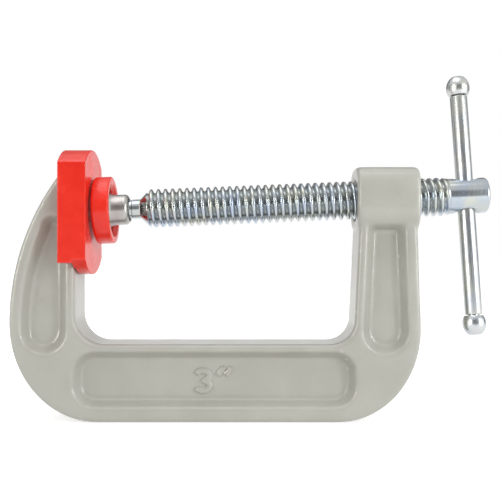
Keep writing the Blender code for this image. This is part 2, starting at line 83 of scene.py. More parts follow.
# %% The screw's own axes, from the joints
joints = {joint["name"]: joint for joint in record["behaviour"]["joints"]}
screw_axis = Vector(joints["screw_turn"]["axis"]).normalized()
bar_axis = Vector(joints["handle_slide"]["axis"]).normalized()
across_axis = bar_axis.cross(screw_axis).normalized()
boss_middle = Vector(joints["screw_turn"]["pos_m"])


def axes_at(place):
    """A frame of axes at a place: X along the screw, Z along the T bar."""
    turn = Matrix((screw_axis, across_axis, bar_axis)).transposed().to_4x4()
    return Matrix.Translation(place) @ turn


def along_screw(node):
    """First and last place of a node along the screw, from the boss's middle, and its radius."""
    places = [vert.co - boss_middle for vert in clamp["nodes"][node].data.vertices]
    along = [place.dot(screw_axis) for place in places]
    radius = max((place - place.dot(screw_axis) * screw_axis).length for place in places)
    return min(along), max(along), radius


for node in ("spindle", "swivel_shoe", "shoe_retaining_ring", "shoe_pad"):
    print(node, [round(1000 * value, 2) for value in along_screw(node)])

# %% [markdown]
# ## Small tools for solid shapes
#
# Three ways of making a solid serve for the whole clamp. A turned solid spins a profile about
# its axis, as a lathe does. A slab is an outline given a thickness, as the cast frame is.
# Booleans cut pockets and holes. What a foundry or a mould leaves rounded is then rebuilt with
# a fine voxel remesh and smoothed a little, which softens every edge and inner corner at once,
# where a bevel would have to be told about each edge.

# %% Helpers: mesh objects, arcs and slabs
FINE_SAG = 0.000006         # a chord stays this close to its arc


def make_object(name, shape, sharp_angle=40):
    """Turn a bmesh into a smooth-shaded object."""
    bmesh.ops.recalc_face_normals(shape, faces=shape.faces)
    mesh = bpy.data.meshes.new(name)
    shape.to_mesh(mesh)
    shape.free()
    mesh.shade_smooth()
    mesh.set_sharp_from_angle(angle=math.radians(sharp_angle))
    item = bpy.data.objects.new(name, mesh)
    bpy.context.scene.collection.objects.link(item)
    return item


def arc(centre, radius, start, end, height=None):
    """Points on an arc, from start to end degrees; height makes it part of an ellipse."""
    tall = radius if height is None else height
    first = math.radians(start)
    sweep = math.radians(end) - first
    chord = 2 * math.acos(1 - FINE_SAG / max(radius, tall))
    steps = max(3, math.ceil(abs(sweep) / chord))
    angles = [first + sweep * step / steps for step in range(steps + 1)]
    return [(centre[0] + radius * math.cos(a), centre[1] + tall * math.sin(a)) for a in angles]


def inset(outline, distance):
    """Move the sides of an anticlockwise outline inwards."""
    moved = []
    for index, here in enumerate(outline):
        point = Vector(here)
        before = (point - Vector(outline[index - 1])).normalized()
        after = (Vector(outline[(index + 1) % len(outline)]) - point).normalized()
        inward = Vector((-before.y - after.y, before.x + after.x)).normalized()
        moved.append(point + inward * distance / inward.dot(Vector((-after.y, after.x))))
    return moved


def add_slab(shape, near_outline, far_outline, near_y, far_y):
    """Close the space between two outlines at two places along Y."""
    near = [shape.verts.new((x, near_y, z)) for x, z in near_outline]
    far = [shape.verts.new((x, far_y, z)) for x, z in far_outline]
    shape.faces.new(near)
    shape.faces.new(reversed(far))
    for index in range(len(near)):
        after = (index + 1) % len(near)
        shape.faces.new((near[after], near[index], far[index], far[after]))
    shape.normal_update()


# %% Helpers: turned solids, cuts and the foundry's softness
def turn_solid(name, profile, sides=96, axis="X", closed=False, sharp_angle=40):
    """Spin (along, radius) points about the local X or Z axis, as on a lathe."""
    shape = bmesh.new()
    on_x = axis == "X"
    verts = [shape.verts.new((a, 0, r) if on_x else (r, 0, a)) for a, r in profile]
    edges = [shape.edges.new(pair) for pair in zip(verts, verts[1:])]
    if closed:
        edges.append(shape.edges.new((verts[-1], verts[0])))
    bmesh.ops.spin(shape, geom=verts + edges, cent=(0, 0, 0), steps=sides, use_merge=True,
                   axis=(1, 0, 0) if on_x else (0, 0, 1), dvec=(0, 0, 0), angle=2 * math.pi)
    bmesh.ops.remove_doubles(shape, verts=shape.verts, dist=1e-7)
    return make_object(name, shape, sharp_angle)


def make_block(name, low, high):
    """A box between two corners, to add or cut."""
    shape = bmesh.new()
    bmesh.ops.create_cube(shape, size=1.0)
    for vert in shape.verts:
        vert.co = Vector((low[i] + high[i]) / 2 + vert.co[i] * (high[i] - low[i]) for i in range(3))
    return make_object(name, shape)


def apply_modifiers(item):
    """Replace an object's mesh by what its modifiers make of it."""
    bpy.context.view_layer.update()
    graph = bpy.context.evaluated_depsgraph_get()
    result = bpy.data.meshes.new_from_object(item.evaluated_get(graph))
    item.modifiers.clear()
    item.data = result


def combine(item, tool, operation):
    """Cut or join with another solid, and throw the tool away."""
    change = item.modifiers.new(operation, "BOOLEAN")
    change.object = tool
    change.operation = operation
    change.solver = "EXACT"
    apply_modifiers(item)
    bpy.data.objects.remove(tool, do_unlink=True)


def soften(item, grain, rounds, share=1.0):
    """Rebuild a solid from cubes of one size and relax it, so that its edges round over."""
    rebuild = item.modifiers.new("rebuild", "REMESH")
    rebuild.mode = "VOXEL"
    rebuild.voxel_size = grain
    relax = item.modifiers.new("relax", "SMOOTH")
    relax.factor = 0.5
    relax.iterations = rounds
    if share < 1.0:
        thin = item.modifiers.new("thin", "DECIMATE")
        thin.ratio = share
    apply_modifiers(item)
    item.data.shade_smooth()


def report(item):
    size = [round(1000 * side, 1) for side in item.dimensions]
    print(f"{item.name}: {len(item.data.polygons)} faces, {size} mm")


# %% [markdown]
# ## The cast frame
#
# The frame is one iron casting: a C with an I-shaped section, so that a thin web joins thick
# ribs and each side has pockets. The pockets have slanted walls, called draft, that let the
# pattern leave the sand. A boss at the top of the right arm carries the screw.
#
# It starts as a crisp solid. The outline is drawn with arcs, the pockets are cut with slanted
# cutters, and the boss is joined on. The boss is a square with very round corners, so it is
# turned as a cylinder and its points are then pushed outwards. At last the casting is softened
# as one, because it has no sharp edge anywhere, inside or outside.

# %% The frame's sizes
jaw_low, jaw_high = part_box("jaw_pad")
frame_low, frame_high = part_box("frame")
FRAME_WIDTH = 0.0168
WEB = 0.0094                # the thin plate between the pockets
SPINE_HEIGHT = 0.0236
JAW_DEPTH = 0.0200          # jaw face to the back of the left arm
JAW_TIP = 0.0022            # thickness of the left arm at its tip
TIP_RISE = 0.01045          # the tip above the screw's axis
HAUNCH = 0.0300             # height of the back's outermost point
BOSS_HALF = 0.00955         # half the boss's length
BOSS_RADIUS = 0.00975       # half its height
BOSS_HALF_WIDTH = 0.0101
BOSS_SQUARENESS = 3.4       # 2 is an ellipse; higher is nearer to a square
BOSS_ROUND = 0.0008
BOSS_OVERHANG = 0.0011      # the boss stands past the arm at each end
BORE_RADIUS = 0.0062
FLARE_IN = 0.0019           # the right arm widens by these, down to its foot
FLARE_OUT = 0.0014
axis_z = boss_middle.z
tip_z = axis_z + TIP_RISE
boss_face = boss_middle.x - BOSS_HALF
arm_top_inner = boss_face + BOSS_OVERHANG
arm_top_outer = boss_middle.x + BOSS_HALF - BOSS_OVERHANG
arm_inner = arm_top_inner - FLARE_IN
arm_outer = arm_top_outer + FLARE_OUT
jaw_x = frame_low.x + JAW_DEPTH
back_sag = JAW_DEPTH - JAW_TIP
back_radius = ((tip_z - HAUNCH) ** 2 + back_sag ** 2) / (2 * back_sag)
back_centre = (frame_low.x + back_radius, HAUNCH)
print("jaw face at", round(1000 * jaw_x, 2), "mm")
print("jaw to boss", round(1000 * (boss_face - jaw_x), 1), "mm")


# %% The frame's outline
HEEL = 0.0265               # lower left corner, along X
TOE = 0.0248                # lower right corner, along X
TOE_HEIGHT = 0.0280         # and along Z
THROAT_LEFT = 0.0087        # radii of the two inner corners
THROAT_RIGHT = 0.0073


def back_curve(distance, top):
    """The long arc of the left arm's back, moved inwards by a distance."""
    radius = back_radius - distance
    rise = math.degrees(math.asin((top - HAUNCH) / radius))
    return arc(back_centre, radius, 180 - rise, 180)


def frame_outline():
    """The C seen from the front, anticlockwise from the toe; its top is inside the boss."""
    top = axis_z + 0.0012
    points = arc((arm_outer - TOE, TOE_HEIGHT), TOE, -90, 0, TOE_HEIGHT)
    points += [(arm_top_outer, top), (arm_top_inner, top)]
    points += arc((arm_inner - THROAT_RIGHT, SPINE_HEIGHT + THROAT_RIGHT), THROAT_RIGHT, 0, -90)
    points += arc((jaw_x + THROAT_LEFT, SPINE_HEIGHT + THROAT_LEFT), THROAT_LEFT, -90, -180)
    points += [(jaw_x, tip_z)]
    points += back_curve(0, tip_z)
    points += arc((frame_low.x + HEEL, HAUNCH), HEEL, 180, 270, HAUNCH)[1:]
    return points


print("outline points:", len(frame_outline()))


# %% The outlines of its pockets
RIM_LEFT = 0.0034           # rib along the left arm's back
RIM_JAW = 0.0026            # rib behind the jaw's face
RIM_RIGHT = 0.0036          # rib outside the right arm
RIM_INNER = 0.0024          # rib on the right arm's throat side
RIM_THIN = 0.0020           # rib under the throat
RIM_BASE = 0.0043           # rib along the underside
POCKET_FOOT = 0.0277        # middle of the arm pockets' round feet
POCKET_HEAD = 0.0090        # middle of the left pocket's top, below the screw's axis
POCKET_CORNER = 0.0065
UNDER_LEFT = 0.0008         # the spine's pocket runs this far under each arm
UNDER_RIGHT = 0.0006


def left_pocket():
    right = jaw_x - RIM_JAW
    left = frame_low.x + RIM_LEFT
    foot = (right - left) / 2
    back = back_curve(RIM_LEFT, axis_z - POCKET_HEAD)
    top = (right - back[0][0]) / 2
    points = arc((left + foot, POCKET_FOOT), foot, 180, 360)
    points += arc((back[0][0] + top, back[0][1]), top, 0, 180)
    return points + back[1:]


def spine_pocket():
    left, right = jaw_x - UNDER_LEFT, arm_inner + UNDER_RIGHT
    low, high, corner = RIM_BASE, SPINE_HEIGHT - RIM_THIN, POCKET_CORNER
    points = arc((right - corner, low + corner), corner, -90, 0)
    points += arc((right - corner, high - corner), corner, 0, 90)
    points += arc((left + corner, high - corner), corner, 90, 180)
    return points + arc((left + corner, low + corner), corner, 180, 270)


def right_pocket():
    left, right = arm_inner + RIM_INNER, arm_outer - RIM_RIGHT
    foot = (right - left) / 2
    points = arc((left + foot, POCKET_FOOT), foot, 180, 360)
    return points + [(arm_top_outer - RIM_RIGHT, axis_z), (arm_top_inner + RIM_INNER, axis_z)]


print("pocket points:", [len(side()) for side in (left_pocket, spine_pocket, right_pocket)])

# %% [markdown]
# The cutters are wide outside the frame and narrow at the web, which gives the pocket walls
# their slant. The rims get their rounding with a bevel before the pockets are cut, because
# there the two long edge loops are still easy to pick.

# %% Cast the frame
DRAFT = 0.0024              # how far a pocket narrows on its way to the web
RIM_ROUND = 0.0010


def cast_frame():
    shape = bmesh.new()
    outline = frame_outline()
    add_slab(shape, outline, outline, -FRAME_WIDTH / 2, FRAME_WIDTH / 2)
    rims = [edge for edge in shape.edges if edge.verts[0].co.y == edge.verts[1].co.y]
    bmesh.ops.bevel(shape, geom=rims, offset=RIM_ROUND, offset_type="OFFSET", segments=3,
                    profile=0.5, affect="EDGES")
    casting = make_object("frame_casting", shape)

    cutters = bmesh.new()
    depth = (FRAME_WIDTH - WEB) / 2
    for pocket in (left_pocket(), spine_pocket(), right_pocket()):
        for side in (-1, 1):
            add_slab(cutters, inset(pocket, -DRAFT), inset(pocket, DRAFT),
                     side * (WEB / 2 + 2 * depth), side * WEB / 2)
    combine(casting, make_object("pocket_cutters", cutters), "DIFFERENCE")
    return casting


def square_up(item):
    """Push a turned solid's section out from a circle towards a rounded square."""
    for vert in item.data.vertices:
        radius = math.hypot(vert.co.y, vert.co.z)
        if radius > 0:
            across, up = vert.co.y / radius, vert.co.z / radius
            size = abs(across) ** BOSS_SQUARENESS + abs(up) ** BOSS_SQUARENESS
            size **= -1 / BOSS_SQUARENESS
            vert.co.y *= size * BOSS_HALF_WIDTH / BOSS_RADIUS
            vert.co.z *= size


def bore_boss(casting):
    """Join the boss, with rounded ends, and drill it for the screw."""
    corner = arc((BOSS_HALF - BOSS_ROUND, BOSS_RADIUS - BOSS_ROUND), BOSS_ROUND, 0, 90)
    profile = [(-BOSS_HALF, 0)] + [(-a, r) for a, r in corner] + corner[::-1] + [(BOSS_HALF, 0)]
    boss = turn_solid("boss", profile, sides=160)
    square_up(boss)
    boss.location = boss_middle
    combine(casting, boss, "UNION")
    reach = 2 * BOSS_HALF
    hole = turn_solid("bore", [
        (-reach, 0), (-reach, BORE_RADIUS), (reach, BORE_RADIUS), (reach, 0)])
    hole.matrix_world = axes_at(boss_middle)
    combine(casting, hole, "DIFFERENCE")


frame_casting = cast_frame()
bore_boss(frame_casting)
soften(frame_casting, grain=0.00038, rounds=36, share=0.6)
report(frame_casting)

# %% [markdown]
# Sand leaves a face that is never quite flat. Each point of the casting moves by a few
# hundredths of a millimetre along its normal, by a slow noise, and a little more on the pocket
# floors, which nobody grinds. It is enough to bend the highlights.

# %% Give the casting its slight unevenness
def uneven(item, face_amount, floor_amount, grain):
    """Move each point along its normal by a slow noise and a weaker, quicker one."""
    mesh = item.data
    moved = []
    for vert in mesh.vertices:
        inside = abs(vert.co.y) < FRAME_WIDTH / 2 - 0.0020 and abs(vert.normal.y) > 0.5
        amount = floor_amount if inside else face_amount
        push = noise.noise(vert.co / grain) + 0.4 * noise.noise(vert.co / (grain * 0.35))
        moved.append(vert.co + vert.normal * amount * push)
    mesh.vertices.foreach_set("co", np.array(moved, dtype=np.float32).ravel())
    mesh.update()


uneven(frame_casting, face_amount=0.00003, floor_amount=0.00007, grain=0.007)
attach(frame_casting, "clamp_frame")
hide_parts("frame")
print("casting extends to", [round(1000 * value, 1) for value in frame_casting.bound_box[6]])

# %% [markdown]
# ## The size numeral
#
# A plain figure, the opening in inches, stands up from the floor of the spine's pocket. A
# pattern maker glues on letters with round tops and slanted sides, so each stroke is a swept
# curve that is then pressed flatter towards the web. Drawing the figure from two arcs keeps
# it a stroke, where a text object would need a font.

# %% The raised numeral
NUMERAL_STROKE = 0.00102    # half the width of a stroke
NUMERAL_HEIGHT = 0.0082
NUMERAL_WIDTH = 0.0066
NUMERAL_PRESS = 0.7         # the strokes keep this much of their height
numeral_place = Vector((jaw_x + 0.0385, -WEB / 2, 0.0122))


def sweep_strokes(name, strokes):
    """One mesh of round strokes along lists of (x, z) points."""
    curve = bpy.data.curves.new(name, "CURVE")
    curve.dimensions = "3D"
    curve.bevel_depth = NUMERAL_STROKE
    curve.bevel_resolution = 5
    curve.use_fill_caps = True
    for stroke in strokes:
        spline = curve.splines.new("POLY")
        spline.points.add(len(stroke) - 1)
        for point, (x, z) in zip(spline.points, stroke):
            point.co = (x, 0, z, 1)
    swept = bpy.data.objects.new(name, curve)
    bpy.context.scene.collection.objects.link(swept)
    bpy.context.view_layer.update()
    graph = bpy.context.evaluated_depsgraph_get()
    mesh = bpy.data.meshes.new_from_object(swept.evaluated_get(graph))
    bpy.data.objects.remove(swept, do_unlink=True)
    return mesh


def numeral_strokes():
    """A figure three from two arcs, and the two short marks that mean inches."""
    bowl = NUMERAL_HEIGHT / 4 - NUMERAL_STROKE / 2
    wide = NUMERAL_WIDTH / 2 - NUMERAL_STROKE
    upper = arc((0, bowl), wide * 0.92, 155, -90, bowl)
    lower = arc((0, -bowl), wide, 90, -155, bowl)
    marks = []
    for shift in (0.0046, 0.0071):
        marks.append([(shift, 0.0018), (shift + 0.0014, 0.0036), (shift + 0.0021, 0.0034)])
    return [upper + lower[1:]] + marks


numeral_mesh = sweep_strokes("size_numeral", numeral_strokes())
numeral_mesh.transform(Matrix.Diagonal((1, NUMERAL_PRESS, 1, 1)))
numeral_mesh.transform(Matrix.Translation(numeral_place))
size_numeral = bpy.data.objects.new("size_numeral", numeral_mesh)
bpy.context.scene.collection.objects.link(size_numeral)
soften(size_numeral, grain=0.00014, rounds=2)
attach(size_numeral, "clamp_frame")
report(size_numeral)

# %% [markdown]
# ## The screw
#
# One steel piece: a ball that sits in the shoe, a thin neck, a cone where the thread starts, a
# long right-hand thread and a plain head with a cross hole. A thread can be made by a Screw
# modifier, but its ends are then cut off square. Here the piece is a lathe grid whose radius
# is worked out point by point: the smaller of the turned blank and the thread's own shape. So
# the thread runs out by itself where the blank gets thinner, as a cut thread does.

# %% The screw's sizes
PITCH = 0.00222
THREAD_RADIUS = 0.0060
ROOT_RADIUS = 0.0047
CREST_FATNESS = 1.6         # above 1, crests are wider than the valleys between them
HEAD_RADIUS = 0.0055
NECK_RADIUS = 0.0028
BALL_RADIUS = 0.0033
BALL_NOSE = 0.0029          # the ball's middle to its flat nose
NECK_LENGTH = 0.0037
START_CONE = 0.0028
RUN_OUT = 0.0016            # the thread's full diameter goes on this far past its end
HEAD_LENGTH = 0.0149
HOLE_FROM_END = 0.0071
screw_first, screw_last, _ = along_screw("spindle")
shoe_first, shoe_last, flange_radius = along_screw("swivel_shoe")
ball_place = screw_first + BALL_NOSE
neck_end = shoe_last + NECK_LENGTH
cone_end = neck_end + START_CONE
thread_to = screw_last - HEAD_LENGTH
shank_end = thread_to + RUN_OUT
hole_place = screw_last - HOLE_FROM_END
print("thread turns:", round((thread_to - neck_end) / PITCH, 1))


# %% The blank, the thread and where they meet
def blank_profile():
    """(along, radius) points of the screw's blank, before its thread is cut."""
    nose = math.degrees(math.acos(BALL_NOSE / BALL_RADIUS))
    neck = math.degrees(math.asin(NECK_RADIUS / BALL_RADIUS))
    points = [(screw_first, 0)] + arc((ball_place, 0), BALL_RADIUS, 180 - nose, neck)
    points += [(shoe_last + 0.0008, NECK_RADIUS), (shoe_last + 0.0010, NECK_RADIUS + 0.0002)]
    points += arc((neck_end - 0.0004, NECK_RADIUS + 0.0006), 0.0004, -90, -40)
    steps = math.ceil((shank_end - cone_end) / (PITCH / 16))
    for step in range(steps + 1):
        points.append((cone_end + step / steps * (shank_end - cone_end), THREAD_RADIUS))
    points += [(shank_end + 0.0004, HEAD_RADIUS)]
    points += [(screw_last - 0.0016, HEAD_RADIUS)]
    points += arc((screw_last - 0.0016, HEAD_RADIUS - 0.0010), 0.0010, 90, 35)[1:]
    points += [(screw_last - 0.0003, HEAD_RADIUS - 0.0019), (screw_last, 0)]
    return points


def thread_radius(along, angle):
    """The thread's radius at a place; past its end it rises to the head instead."""
    turns = along / PITCH - angle / (2 * math.pi)
    wave = 0.5 + 0.5 * math.cos(2 * math.pi * turns)
    height = 1 - (1 - wave) ** CREST_FATNESS
    fade = min(1.0, max(0.0, (along - thread_to) / PITCH))
    top = THREAD_RADIUS - fade * (THREAD_RADIUS - HEAD_RADIUS)
    return top - (1 - height) * (1 - fade) * (THREAD_RADIUS - ROOT_RADIUS)


def refine(profile, longest=PITCH / 12):
    """Add points along the cone and the run-out, where the thread has to show."""
    points = [profile[0]]
    for here, there in zip(profile, profile[1:]):
        steps = 1
        if neck_end < there[0] < thread_to + 0.003:
            steps = max(1, math.ceil((there[0] - here[0]) / longest))
        for step in range(1, steps + 1):
            share = step / steps
            points.append(tuple(a + share * (b - a) for a, b in zip(here, there)))
    return points


def cut_screw(columns=60):
    """Rings of points along the screw, joined by faces, with one point at each end."""
    shape = bmesh.new()
    rings = []
    for along, blank in refine(blank_profile()):
        if blank == 0:
            rings.append([shape.verts.new((along, 0, 0))])
            continue
        ring = []
        for column in range(columns):
            angle = 2 * math.pi * column / columns
            radius = blank
            if neck_end - 0.00032 < along < shank_end + 0.0002:
                radius = min(blank, thread_radius(along, angle))
            across, up = radius * math.cos(angle), radius * math.sin(angle)
            ring.append(shape.verts.new((along, across, up)))
        rings.append(ring)
    for near, far in zip(rings, rings[1:]):
        for column in range(columns):
            after = (column + 1) % columns
            if len(near) == 1:
                shape.faces.new((near[0], far[column], far[after]))
            elif len(far) == 1:
                shape.faces.new((near[column], near[after], far[0]))
            else:
                shape.faces.new((near[column], near[after], far[after], far[column]))
    return make_object("screw", shape, sharp_angle=50)


screw = cut_screw()
screw.matrix_world = axes_at(boss_middle)
report(screw)

# %% [markdown]
# The cross hole is drilled last, and both its mouths are countersunk a little so that the T
# bar slides in without scraping.

# %% Drill the cross hole
BAR_RADIUS = 0.00265


def cross_drill():
    bore = BAR_RADIUS + 0.0003
    rim = 0.0044            # the screw's axis to where the countersink is deepest
    wide = bore + 0.0009
    profile = [(-0.009, 0), (-0.009, wide + 0.004), (-rim, wide - 0.0003), (-rim + 0.0010, bore)]
    profile += [(rim - 0.0010, bore), (rim, wide - 0.0003), (0.009, wide + 0.004), (0.009, 0)]
    drill = turn_solid("cross_drill", profile, sides=64, axis="Z")
    drill.matrix_world = axes_at(boss_middle + hole_place * screw_axis)
    return drill


combine(screw, cross_drill(), "DIFFERENCE")
screw.data.shade_smooth()
screw.data.set_sharp_from_angle(angle=math.radians(38))
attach(screw, "screw")
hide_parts("spindle")
report(screw)

# %% [markdown]
# ## The T bar
#
# A drawn rod slides through the cross hole. Each end is a flattened ball pressed on a thinner
# spigot, so that the bar can't fall out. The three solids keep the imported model's lengths, and
# only get finer curves and a small round where the ball meets the rod.

# %% Turn the bar and its two ends
SPIGOT_RADIUS = 0.0017
bar_places = [vert.co - boss_middle for vert in clamp["nodes"]["handle_bar"].data.vertices]
bar_low = min(place.dot(bar_axis) for place in bar_places)
bar_high = max(place.dot(bar_axis) for place in bar_places)
bar_middle = boss_middle + hole_place * screw_axis + (bar_low + bar_high) / 2 * bar_axis
bar_half = (bar_high - bar_low) / 2
shoulder = bar_half - 0.0031    # where the rod steps down to its spigot


def turn_bar():
    edge = arc((shoulder - 0.0003, BAR_RADIUS - 0.0003), 0.0003, 0, 90)
    profile = [(-bar_half, 0), (-bar_half, SPIGOT_RADIUS), (-shoulder, SPIGOT_RADIUS)]
    profile += [(-a, r) for a, r in edge] + edge[::-1]
    profile += [(shoulder, SPIGOT_RADIUS), (bar_half, SPIGOT_RADIUS), (bar_half, 0)]
    bar = turn_solid("t_bar_rod", profile, sides=64, axis="Z")
    bar.matrix_world = axes_at(bar_middle)
    return bar


def turn_bar_end(name, upwards):
    """A flattened ball: its widest radius, and the radii of its foot and its flat top."""
    widest, foot, flat = 0.0036, 0.0029, 0.0019
    low, high = -0.0028, 0.0031
    top_angle = math.acos(flat / widest)
    foot_angle = math.acos(foot / widest)
    tall = (high - low) / (math.sin(top_angle) + math.sin(foot_angle))
    middle = high - tall * math.sin(top_angle)
    side = arc((0, middle), widest, -math.degrees(foot_angle), math.degrees(top_angle), tall)
    bore = SPIGOT_RADIUS + 0.0003
    profile = [(0.0006, 0), (0.0006, bore), (low, bore)]
    profile += [(along, across) for across, along in side]
    profile += [(high, flat - 0.0001), (high + 0.00002, 0)]
    end = turn_solid(name, profile, sides=72, axis="Z", sharp_angle=45)
    place = axes_at(bar_middle + (bar_half if upwards else -bar_half) * bar_axis)
    end.matrix_world = place if upwards else place @ Matrix.Rotation(math.pi, 4, "X")
    return end


t_bar_rod = turn_bar()
t_bar_top_end = turn_bar_end("t_bar_top_end", True)
t_bar_bottom_end = turn_bar_end("t_bar_bottom_end", False)
for piece, node in ((t_bar_rod, "handle_bar"), (t_bar_top_end, "handle_end_upper"),
                    (t_bar_bottom_end, "handle_end_lower")):
    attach(piece, "t_bar")
    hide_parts(node)
    report(piece)

# %% [markdown]
# ## The swivel shoe and its spring ring
#
# The shoe is a small turned bell. The ball sits in it, and a spring ring behind the ball keeps
# it there, so the shoe can tip and turn while the screw pushes. From its plain collar it flares
# to a flange that the red cap snaps over. It is spun from one profile with rounded corners.

# %% Turn the shoe and the ring
ring_first, ring_last, ring_radius = along_screw("shoe_retaining_ring")


def turn_shoe():
    """The shoe's outside, from its nose to its mouth, and then the hollow for the ball."""
    cavity_floor = shoe_first + 0.0009
    collar = 0.0047
    cavity = ring_radius + 0.0005
    lip = NECK_RADIUS + 0.00065
    flange_back = shoe_first + 0.0013
    profile = [(shoe_first, 0), (shoe_first, flange_radius - 0.0002)]
    profile += [(shoe_first + 0.0002, flange_radius), (flange_back - 0.0002, flange_radius)]
    profile += [(flange_back, flange_radius - 0.0002), (flange_back, collar + 0.0013)]
    profile += [(shoe_last - 0.0066, collar + 0.0010), (shoe_last - 0.0056, collar + 0.0004)]
    profile += [(shoe_last - 0.0046, collar + 0.0001), (shoe_last - 0.0036, collar)]
    profile += arc((shoe_last - 0.0015, collar - 0.0015), 0.0015, 100, 15)
    profile += arc((shoe_last - 0.0003, lip + 0.0003), 0.0003, 0, -90)
    profile += [(shoe_last - 0.0010, lip), (shoe_last - 0.0010, cavity)]
    profile += [(cavity_floor, cavity), (cavity_floor, 0)]
    shoe = turn_solid("swivel_bell", profile, sides=96)
    shoe.matrix_world = axes_at(boss_middle)
    return shoe


def turn_ring():
    """A ring of oval wire, just wider than the neck."""
    inner = NECK_RADIUS + 0.0003
    middle = (ring_first + ring_last) / 2
    centre = (inner + ring_radius) / 2
    profile = arc((middle, centre), (ring_last - ring_first) / 2, 0, 360, (ring_radius - inner) / 2)
    ring = turn_solid("spring_ring", profile[:-1], sides=64, closed=True)
    ring.matrix_world = axes_at(boss_middle)
    return ring


swivel_bell = turn_shoe()
spring_ring = turn_ring()
for piece, node, body, finish in (
        (swivel_bell, "swivel_shoe", "shoe", "shoe_steel"),
        (spring_ring, "shoe_retaining_ring", "shoe_carrier", "spring_steel")):
    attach(piece, body)
    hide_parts(node)
    report(piece)

# %% [markdown]
# ## The red pads
#
# Both pads are dipped or moulded in soft PVC, so their corners are round and their faces are a
# little matt. The small one is a round cap: its face touches the work, and a lip reaches in
# behind the flange. The large one slips over the jaw's tip. It has a disc in front, with two
# sides cut straight, and two cheeks behind that grip the arm.

# %% Turn the cap of the shoe
cap_first, cap_last, cap_radius = along_screw("shoe_pad")


def turn_cap():
    """The cap's face and rim, and then its inside, where a lip holds it on the flange."""
    floor = cap_first + 0.0016
    groove = flange_radius + 0.0003
    lip = flange_radius - 0.0007
    lip_first = shoe_first + 0.0016
    profile = [(cap_first, 0)] + arc((cap_first + 0.0008, cap_radius - 0.0008), 0.0008, 180, 90)
    profile += arc((cap_last - 0.0005, cap_radius - 0.0005), 0.0005, 90, 0)
    profile += arc((cap_last - 0.0003, groove + 0.0004), 0.0003, 0, -70)
    profile += [(cap_last - 0.0010, lip + 0.0001), (cap_last - 0.0013, lip), (lip_first, lip)]
    profile += [(lip_first, groove), (floor, groove), (floor, 0)]
    cap = turn_solid("red_cap", profile, sides=112)
    cap.matrix_world = axes_at(boss_middle)
    return cap


red_cap = turn_cap()
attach(red_cap, "shoe_cap")
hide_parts("shoe_pad")
report(red_cap)


# %% Mould the jaw pad
DISC_RADIUS = 0.0193
CHEEK_DROP = 0.0156         # the disc's middle down to the end of the cheeks
PAD_PLAY = 0.00032          # between the pad and the jaw inside it


def mould_jaw_pad():
    half_width = (jaw_high.y - jaw_low.y) / 2
    radius, gap = DISC_RADIUS, PAD_PLAY
    middle_z = jaw_high.z - radius
    skirt_z = middle_z - CHEEK_DROP
    flat = math.degrees(math.acos(half_width / radius))
    outline = arc((0, 0), radius, flat, 180 - flat) + arc((0, 0), radius, 180 + flat, 360 - flat)
    shape = bmesh.new()
    front = [shape.verts.new((jaw_high.x, y, middle_z + z)) for y, z in outline]
    back = [shape.verts.new((jaw_low.x, y, middle_z + z)) for y, z in outline]
    shape.faces.new(front)
    shape.faces.new(reversed(back))
    for index in range(len(outline)):
        after = (index + 1) % len(outline)
        shape.faces.new((front[after], front[index], back[index], back[after]))
    pad = make_object("red_jaw_pad", shape)
    cheek_low = Vector((jaw_low.x, -half_width, skirt_z))
    cheek_high = Vector((jaw_x, half_width, middle_z))
    combine(pad, make_block("cheeks", cheek_low, cheek_high), "UNION")
    below_low = Vector((jaw_low.x - radius, -radius, middle_z - 2 * radius))
    combine(pad, make_block("below", below_low, Vector((jaw_x, radius, skirt_z))), "DIFFERENCE")

    low_z, high_z = middle_z - 2 * radius, tip_z + gap
    slot_outline = [(jaw_x + gap, low_z), (jaw_x + gap, high_z)]
    rise = [math.degrees(math.asin((z - HAUNCH) / (back_radius + gap))) for z in (high_z, low_z)]
    slot_outline += arc(back_centre, back_radius + gap, 180 - rise[0], 180 - rise[1])
    slot_shape = bmesh.new()
    half = FRAME_WIDTH / 2 + gap
    add_slab(slot_shape, slot_outline, slot_outline, -half, half)
    combine(pad, make_object("jaw_slot", slot_shape), "DIFFERENCE")
    return pad


red_jaw_pad = mould_jaw_pad()
soften(red_jaw_pad, grain=0.00025, rounds=3)
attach(red_jaw_pad, "jaw_cap")
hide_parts("jaw_pad")
report(red_jaw_pad)

# %% [markdown]
# ## Node groups that several finishes share
#
# Paint, plate and plastic all vary a little in tone, and machined or drawn metal has fine
# lines. Each effect is one node group with named inputs, built once and set differently in
# each material. A group only puts out a colour, a mask or a height that changes over the
# surface.

# %% A group builder and two groups
def new_group(name, inputs, outputs):
    """A shader group with its sockets, and its two end nodes."""
    group = bpy.data.node_groups.new(name, "ShaderNodeTree")
    for label, kind, value in inputs:
        socket = group.interface.new_socket(name=label, in_out="INPUT", socket_type=kind)
        if value is not None:
            socket.default_value = value
    for label, kind in outputs:
        group.interface.new_socket(name=label, in_out="OUTPUT", socket_type=kind)
    return group, group.nodes.new("NodeGroupInput"), group.nodes.new("NodeGroupOutput")


